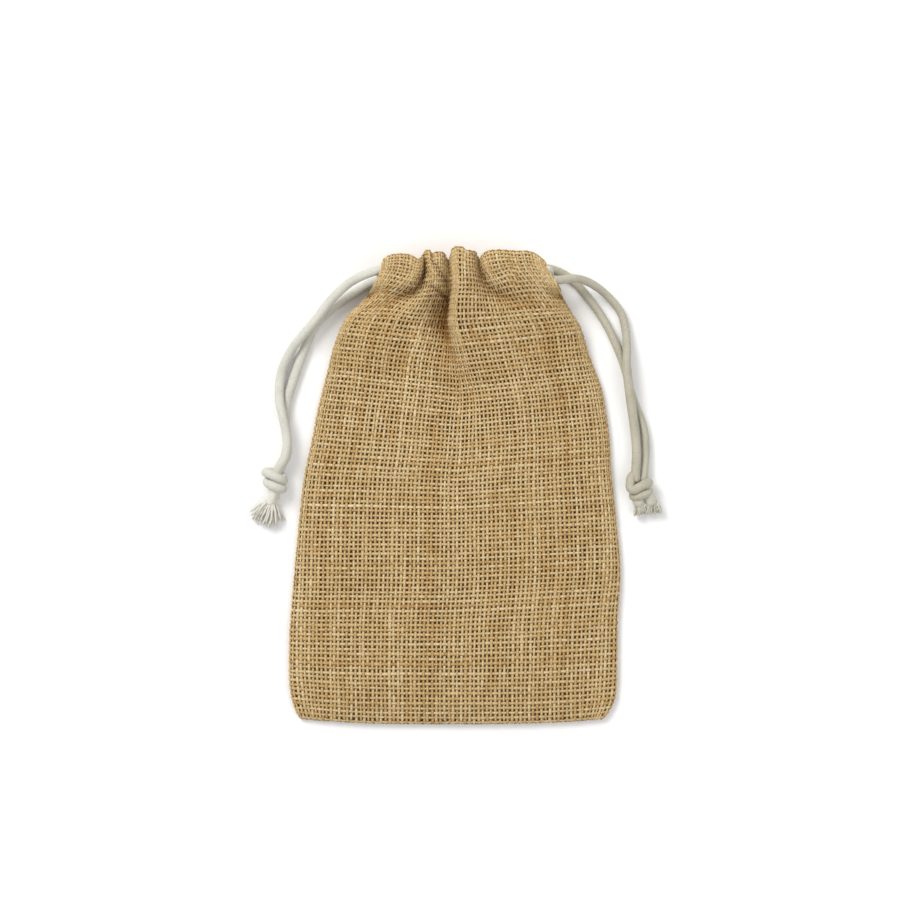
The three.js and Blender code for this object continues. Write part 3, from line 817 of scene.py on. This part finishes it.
def bottom_seam():
    x = np.linspace(*ALLOWANCE_X, 125)[None, :]
    y = BOTTOM_Y + np.linspace(ALLOWANCE_FROM, ALLOWANCE_FROM + ALLOWANCE_W, 9)[:, None]
    x, y = np.broadcast_arrays(x, y)
    grid = np.stack([x, y, between(x, y)], -1)
    allowance = joined(
        "bottom_seam_allowance_cloth", [yarn_tubes(f, ALL, ALL) for f in yarn_families(grid, 33)], JUTE
    )
    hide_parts("bottom_seam_allowance")
    x = np.linspace(*ALLOWANCE_X, 120)
    thread = joined("bottom_seam_stitches", [seam_line(x, np.full(x.shape, BOTTOM_Y + SEAM_IN))], THREAD)
    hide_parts("bottom_seam_thread")
    return [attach(allowance, "pouch"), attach(thread, "pouch")]


def bartack(side):
    """A bar tack at the foot of a side vent: close thread turns with two threads laid over them."""
    label = "left" if side < 0 else "right"
    low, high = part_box(f"{label}_vent_bartack")
    low, high = np.array(low) / MM, np.array(high) / MM
    middle = 0.5 * (low + high)
    parts = []
    up = np.linspace(low[2] - 0.6, high[2] + 0.6, 12)
    for k, x in enumerate(np.linspace(low[0] + 0.25, high[0] - 0.25, 8)):
        y = middle[1] + 0.35 * np.sin(k * 2.4) + 0.25 * np.sin(up * 1.3 + k)
        parts.append(cord_like(np.stack([np.full(up.shape, x) + 0.1 * np.sin(up + k), y, up], -1), 0.27))
    for z in (middle[2] - 1.0, middle[2] + 0.9):
        x = np.linspace(low[0] - 0.1, high[0] + 0.1, 12)
        for y in (middle[1] - 0.55, middle[1] + 0.55):
            parts.append(cord_like(np.stack([x, np.full(x.shape, y), z + 0.25 * np.sin(x * 3)], -1), 0.24))
    piece = joined(f"{label}_bartack_thread", parts, THREAD)
    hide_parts(f"{label}_vent_bartack")
    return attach(piece, f"mouth_{label}")


def cord_like(path, radius, sides=8, tone=0.5, taper=None):
    """Points, faces and facts of a plain round strand along a path."""
    side, up = frames_along(path)
    size = radius * (np.ones(len(path)) if taper is None else taper)
    points, faces = tubes(path[None], side[None], up[None], size[None], size[None], sides)
    return points, faces, tube_facts(along_line(path), sides, tone)


sewing = {side: side_seam(side) for side in (-1, 1)}
sewing["bottom"] = bottom_seam()
for side in (-1, 1):
    sewing[side].append(bartack(side))
for name, is_front, seed, nodes in (
    ("front", True, 3, ("front_panel", "front_casing")),
    ("back", False, 4, ("back_panel", "back_casing")),
):
    families = yarn_families(panel_grid(is_front), seed, YARN_W if is_front else BACK_YARN_W)
    for side, label, first, last in ((-1, "left", 0, SPLIT_END), (1, "right", SPLIT_END, ENDS)):
        held_on = [hem_stitches(is_front, side)] + ([] if is_front else sewing[side])
        gathered_cloth(f"{name}_cloth_{label}", first, last, families, nodes)

# ---------- drawcords ----------
CORD_R = 1.75
CORD_SIDES = 18
STITCH_PITCH = 1.7  # length of a knitted stitch of the cord
STITCHES_ROUND = 5
LEFT_CORD = {"front_y": 82.4, "back_y": 79.0}
RIGHT_CORD = {"front_y": 78.5, "back_y": 83.5}
ROUTES = {
    "left_tail_front": [
        (-27.2, 82.4, 15.15), (-31.5, 81.3, 14.5), (-36.0, 79.6, 12.5), (-40.2, 77.2, 10.3),
        (-44.6, 73.5, 8.2), (-48.5, 69.3, 6.8), (-52.0, 64.6, 6.0), (-55.6, 60.2, 5.9),
        (-59.6, 55.6, 5.3), (-62.9, 50.8, 3.5), (-65.5, 45.6, 2.2), (-66.7, 40.2, 2.1),
        (-66.9, 36.0, 3.4), (-66.5, 31.0, 5.3), (-65.3, 25.8, 6.1), (-64.2, 20.6, 6.1),
        (-63.8, 15.8, 6.1), (-64.7, 10.6, 6.3), (-66.5, 7.5, 6.2),
    ],
    "left_tail_back": [
        (-27.2, 79.0, 2.95), (-31.6, 77.9, 2.6), (-35.8, 75.6, 2.1), (-40.3, 72.8, 1.85),
        (-44.9, 69.8, 1.85), (-49.0, 66.4, 1.85), (-52.0, 63.2, 1.85), (-54.3, 59.6, 1.85),
        (-56.0, 55.6, 1.85), (-57.8, 51.2, 1.85), (-59.4, 46.8, 1.85), (-61.0, 42.2, 1.85),
        (-62.4, 37.8, 1.85), (-63.8, 33.4, 1.85), (-64.5, 28.8, 1.85), (-64.6, 23.4, 1.85),
        (-64.0, 17.4, 1.85), (-64.2, 11.6, 2.0), (-66.3, 7.2, 2.3),
    ],
    "right_tail_front": [
        (37.0, 78.5, 15.15), (41.5, 78.6, 14.2), (46.5, 79.3, 11.5), (51.5, 78.4, 8.6),
        (57.0, 75.4, 5.4), (62.0, 70.8, 3.0), (65.2, 66.4, 2.1), (66.7, 61.4, 2.0), (67.3, 56.0, 2.9),
        (67.3, 51.0, 4.9), (67.2, 46.0, 6.1), (67.6, 41.4, 6.1), (68.3, 36.2, 6.0), (69.1, 30.4, 5.4),
        (70.0, 24.6, 4.2), (70.8, 18.0, 3.4), (71.1, 11.6, 4.0), (70.7, 5.6, 4.7),
    ],
    "right_tail_back": [
        (37.0, 83.5, 2.95), (41.5, 82.2, 2.6), (46.6, 79.0, 2.1), (51.0, 74.2, 1.85), (55.2, 68.8, 1.85),
        (59.2, 62.6, 1.85), (62.6, 55.8, 1.85), (65.3, 49.2, 1.85), (67.2, 43.4, 1.85),
        (68.4, 38.4, 1.85), (69.6, 34.2, 1.85), (71.3, 29.8, 1.85), (73.1, 25.2, 1.85),
        (74.4, 20.4, 1.85), (74.9, 15.4, 1.95), (74.8, 10.2, 2.1), (74.3, 5.4, 2.8),
    ],
}


# Where a tail is squashed out of round: distance from its exit and share of its round width.
WIDTHS = {
    "left_tail_back": [(0, 1.0), (25, 1.04), (50, 1.05), (80, 1.0)],
    "right_tail_front": [(0, 1.0), (20, 0.88), (35, 0.82), (52, 0.84), (62, 1.0), (75, 1.06), (95, 1.0)],
    "right_tail_back": [(0, 1.0), (12, 0.93), (45, 0.92), (60, 0.9), (75, 0.78), (95, 0.8)],
}


def cord_mesh(path, radius, width=1.0):
    """Points, faces and facts of a knitted cord along a path, its radius rippled by the stitches."""
    sides = CORD_SIDES
    side, up = frames_along(path)
    along = along_line(path)
    angle = 2 * math.pi * np.arange(sides) / sides
    turn = 2 * math.pi * along[:, None] / STITCH_PITCH
    left_leg, right_leg = (np.sin(turn + way * STITCHES_ROUND * angle) for way in (1, -1))
    ripple = 1 + 0.028 * np.maximum(left_leg, right_leg)
    size = np.broadcast_to(radius, along.shape) * (1 + 0.02 * np.sin(along / 6.1) * np.sin(along / 2.3))
    cap = np.ones(len(along))
    for from_end in (along, along[-1] - along):
        cap *= np.sqrt(1 - (1 - np.clip(from_end / (0.9 * size), 0.02, 1)) ** 2)
    reach = (size * cap)[:, None] * ripple
    width = np.broadcast_to(width, along.shape)[:, None, None]
    ring = path[:, None] + reach[..., None] * (
        side[:, None] * np.cos(angle)[:, None] * width + up[:, None] * np.sin(angle)[:, None] / width**0.5
    )
    _, quads = tubes(path[None], side[None], up[None], 1.0, 1.0, sides)
    return ring.reshape(-1, 3), quads, tube_facts(along, sides)


def hem_run(y, x_from, x_to, is_front, z_exit):
    """A cord's line inside a hem, kept below the cloth's folds; it ends level with the vent."""
    x = np.linspace(x_from, x_to, max(8, int(abs(x_to - x_from) / 0.6)))
    if not is_front:
        return np.stack([x, np.full(x.shape, y), np.full(x.shape, z_exit)], -1)
    reach = np.linspace(-CORD_SPAN, CORD_SPAN, 17)
    cover = front_surface(x[:, None] + reach, np.full((len(x), 17), y)).min(axis=1)
    cover = smoothed(cover - 0.5 - CORD_R, 12)
    vent = x_to if abs(x_to) > abs(x_from) else x_from
    near = 1 - smoothstep(np.abs(x - vent), 0, 7)
    z = np.minimum(cover, 15.15) * (1 - near) + z_exit * near
    return np.stack([x, np.full(x.shape, y), z], -1)


CASING_RUN = 27.0  # how much of a tail lies hidden in the hem
# The wrap of each knot: the line of the strand that goes twice round the others.
KNOTS = {
    "left": [
        (-66.4, 3.2, 2.9), (-65.4, 2.4, 4.6), (-66.6, 3.9, 3.2), (-69.6, 4.9, 2.4), (-72.0, 4.9, 4.2),
        (-71.4, 4.6, 6.4), (-69.2, 3.6, 7.4), (-66.8, 2.4, 7.0), (-65.3, 1.6, 5.0), (-66.2, 1.6, 2.6),
        (-68.8, 2.0, 1.9), (-71.3, 1.6, 3.4), (-71.3, 0.7, 5.6), (-69.4, -0.2, 7.0), (-67.2, -1.2, 6.8),
        (-65.6, -1.6, 4.8), (-66.6, -1.4, 2.8), (-68.4, -1.2, 2.4),
    ],
    "right": [
        (71.8, 3.6, 2.4), (70.2, 3.9, 3.6), (69.0, 2.8, 5.0), (68.6, 0.8, 5.9), (68.6, -1.2, 6.5),
        (70.0, -1.9, 7.1), (72.3, -0.7, 7.5), (74.4, 0.4, 7.0), (75.6, 1.0, 5.2), (75.4, 0.6, 3.0),
        (73.2, -0.8, 1.9), (70.9, -2.9, 2.0), (69.9, -4.3, 3.6), (71.0, -4.6, 5.4), (73.0, -3.9, 6.4),
        (74.9, -3.1, 6.0), (75.8, -2.6, 4.2), (75.0, -3.4, 2.4), (73.4, -4.4, 2.4),
    ],
}
WRAP_R = 1.75


FIBRE_RINGS = 14


def arc_to(start, end, bulge):
    """A line from start to end that bows by bulge on the way."""
    t = np.linspace(0, 1, FIBRE_RINGS)[:, None]
    return np.array(start) * (1 - t) + np.array(end) * t + np.array(bulge) * np.sin(math.pi * t)


def frayed(rng, root, heading, spread, length, strands, fibres, root_r):
    """Loose plies and single fibres that fan out from a cut end."""
    parts = []
    heading = np.array([*heading, 0.0]) / math.hypot(*heading)
    crossing = np.array([-heading[1], heading[0], 0.0])
    for k in range(strands + fibres):
        is_ply = k < strands
        place = rng.uniform(-1, 1)
        fan = spread * (place + 0.15 * rng.standard_normal())
        reach = length * rng.uniform(0.6, 1.0) * (1 if is_ply else rng.uniform(0.85, 1.15))
        toward = heading * math.cos(fan) + crossing * math.sin(fan)
        start = np.array(root) + crossing * place * root_r * 0.8 + [0, 0, rng.uniform(-0.7, 0.7) * root_r]
        start = start - heading * 0.8
        end = start + toward * reach
        end[2] = max(0.5, root[2] + rng.uniform(-2.4, 1.0))
        bulge = crossing * fan * rng.uniform(0.3, 1.1) + np.array([0, 0, rng.uniform(0.0, 0.9)])
        path = arc_to(start, end, bulge)
        wobble = rng.uniform(0, 6.3)
        sway = 0.16 * np.sin(np.linspace(0, 9, FIBRE_RINGS) + wobble) * np.linspace(0, 1, FIBRE_RINGS)
        path = path + crossing * sway[:, None]
        radius = rng.uniform(0.26, 0.5) if is_ply else rng.uniform(0.045, 0.09)
        taper = np.linspace(1, 0.75 if is_ply else 0.4, FIBRE_RINGS)
        taper[-1] = 0.25
        path[:, 2] = np.maximum(path[:, 2], radius + 0.05)
        parts.append(cord_like(path, radius, 7 if is_ply else 4, rng.uniform(0.3, 0.8), taper))
    return parts


FRAYS = {
    "left_frayed_end_front": dict(
        root=(-70.8, -7.6, 3.6),
        heading=(-0.4, -1),
        spread=0.46, length=9.6, strands=84, fibres=140, root_r=1.9,
    ),
    "left_frayed_end_back": dict(
        root=(-69.6, -7.8, 2.4),
        heading=(0.0, -1),
        spread=0.36, length=8.0, strands=60, fibres=120, root_r=1.6,
    ),
    "right_frayed_end_front": dict(
        root=(72.8, -8.0, 3.2),
        heading=(0.12, -1),
        spread=0.3, length=5.0, strands=60, fibres=40, root_r=2.3,
    ),
    "right_frayed_end_back": dict(
        root=(77.6, -7.4, 3.2),
        heading=(0.0, -1),
        spread=0.36, length=5.1, strands=60, fibres=40, root_r=2.1,
    ),
}
# The short lengths of cord between a knot and its frayed ends.
STUBS = {
    "left_frayed_end_front": [(-68.6, 0.0, 4.8), (-69.2, -3.4, 4.6), (-70.7, -8.2, 3.6)],
    "left_frayed_end_back": [(-68.0, 0.0, 3.4), (-68.5, -3.8, 2.8), (-69.5, -8.2, 2.4)],
    "right_frayed_end_front": [(71.2, -1.6, 4.4), (71.7, -5.2, 4.0), (72.8, -8.6, 3.2)],
    "right_frayed_end_back": [(73.8, 0.2, 4.2), (75.7, -4.0, 4.2), (77.4, -8.2, 3.2)],
}
STUB_R = {"left": 1.75, "right": 2.3}
TAIL_ENDS = {
    "left_tail_front": [(-67.4, 5.4, 5.4), (-68.2, 3.2, 4.8)],
    "left_tail_back": [(-67.0, 4.6, 3.2), (-67.8, 2.6, 3.8)],
    "right_tail_front": [(70.9, 2.6, 4.6), (71.2, 0.4, 4.6)],
    "right_tail_back": [(73.9, 2.6, 3.6), (73.4, 0.4, 4.2)],
}
LOOP_START = 31.0  # how far inside its own vent a drawcord's hidden loop starts, past the ends of the tails
LOOP_REACH = 1.0


def hidden_loop(cord, vent, z_front, z_back):
    """A drawcord's legs inside the two hems and the turn that joins them at the far vent."""
    near = (-27.2 if vent < 0 else 37.0) - vent * LOOP_START
    far = 36.2 if vent < 0 else -26.4
    front = hem_run(cord["front_y"], near, far, True, z_front)
    back = hem_run(cord["back_y"], far, near, False, z_back)
    angle = np.radians(np.linspace(8, 172, 14))
    share = ((1 - np.cos(angle)) / 2)[:, None]
    turn = front[-1] * (1 - share) + back[0] * share
    turn[:, 0] += -vent * LOOP_REACH * np.sin(angle)
    return through(np.vstack([front[::3], turn, back[::3]]), 0.5)


for side, vent, body, tail_body, cord, cotton, loose in (
    ("left", -1, "mouth_left", "left_tail", LEFT_CORD, COTTON_L, LOOSE_L),
    ("right", 1, "mouth_right", "right_tail", RIGHT_CORD, COTTON_R, LOOSE_R),
):
    knot_piece = joined(f"{side}_knot_cord", [cord_mesh(through(KNOTS[side], 0.45), WRAP_R)], cotton)
    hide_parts(f"{side}_knot")
    on_cord = {"front": [knot_piece], "back": []}
    rng = np.random.default_rng(40 + vent)
    for which in ("front", "back"):
        name = f"{side}_frayed_end_{which}"
        strands = frayed(rng, **FRAYS[name])
        end = joined(f"{name}_fibres", [cord_mesh(through(STUBS[name], 0.45), STUB_R[side]), *strands], loose)
        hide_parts(name)
        on_cord[which].append(end)
    loop = joined(f"{side}_loop_cord", [cord_mesh(hidden_loop(cord, vent, 15.15, 2.95), CORD_R)], cotton)
    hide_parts(f"{side}_cord_loop")
    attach(loop, f"{side}_drawcord")
    for piece in on_cord["front"] + on_cord["back"]:
        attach(piece, tail_body)
    for which in ("front", "back"):
        name = f"{side}_tail_{which}"
        free = np.array(ROUTES[name])
        y, exit_x = cord[f"{which}_y"], free[0][0]
        inside = hem_run(y, exit_x - vent * CASING_RUN, exit_x - vent * 1.5, which == "front", free[0][2])
        inside = inside[::4]
        path = through(np.vstack([inside, free, TAIL_ENDS[name]]), 0.42)
        along = along_line(path)
        at, share = zip(*WIDTHS.get(name, [(0, 1.0), (1, 1.0)]))
        width = np.interp(along - along_line(inside)[-1], at, share)
        tail = joined(f"{name}_cord", [cord_mesh(path, CORD_R, width=width)], cotton)
        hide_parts(name)
        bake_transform(tail)

# ---------- studio ----------
floor_nodes = Nodes("pale_table")
place = floor_nodes.add("ShaderNodeTexCoord").outputs["Object"]
grain = floor_nodes.noise(place, 60.0, 3.0)
table_material = floor_nodes.finish(
    floor_nodes.ramp(grain, [(0.3, (0.90, 0.90, 0.90)), (0.7, (0.93, 0.93, 0.93))]), 0.75, grain, 0.0001, 0.1
)
floor_mesh = bpy.data.meshes.new("table")
TABLE_REACH = 3.0
corners = [(x * TABLE_REACH, y * TABLE_REACH, 0) for x, y in ((-1, -1), (1, -1), (1, 1), (-1, 1))]
floor_mesh.from_pydata(corners, [], [(0, 1, 2, 3)])
floor_mesh.materials.append(table_material)
table = bpy.data.objects.new("table", floor_mesh)
bpy.context.scene.collection.objects.link(table)


def soft_light(name, place, aim, size, power, colour=(1, 1, 1)):
    light = bpy.data.lights.new(name, "AREA")
    light.size, light.energy, light.color = size, power, colour
    thing = bpy.data.objects.new(name, light)
    thing.location = place
    direction = bpy.context.scene.camera.location.copy()
    direction.xyz = [a - p for a, p in zip(aim, place)]
    thing.rotation_mode = "QUATERNION"
    thing.rotation_quaternion = direction.to_track_quat("-Z", "Y")
    bpy.context.scene.collection.objects.link(thing)


soft_light("key", (-0.8, 0.95, 1.2), (0, 0, 0), 0.8, 21.5, (1, 0.985, 0.96))
soft_light("fill", (0.9, -0.4, 1.2), (0, 0, 0), 1.2, 6.0)
world = bpy.data.worlds.new("studio")
world.use_nodes = True
world.node_tree.nodes["Background"].inputs["Color"].default_value = (1, 1, 1, 1)
world.node_tree.nodes["Background"].inputs["Strength"].default_value = 0.62
bpy.context.scene.world = world
bpy.context.scene.view_settings.view_transform = "Standard"
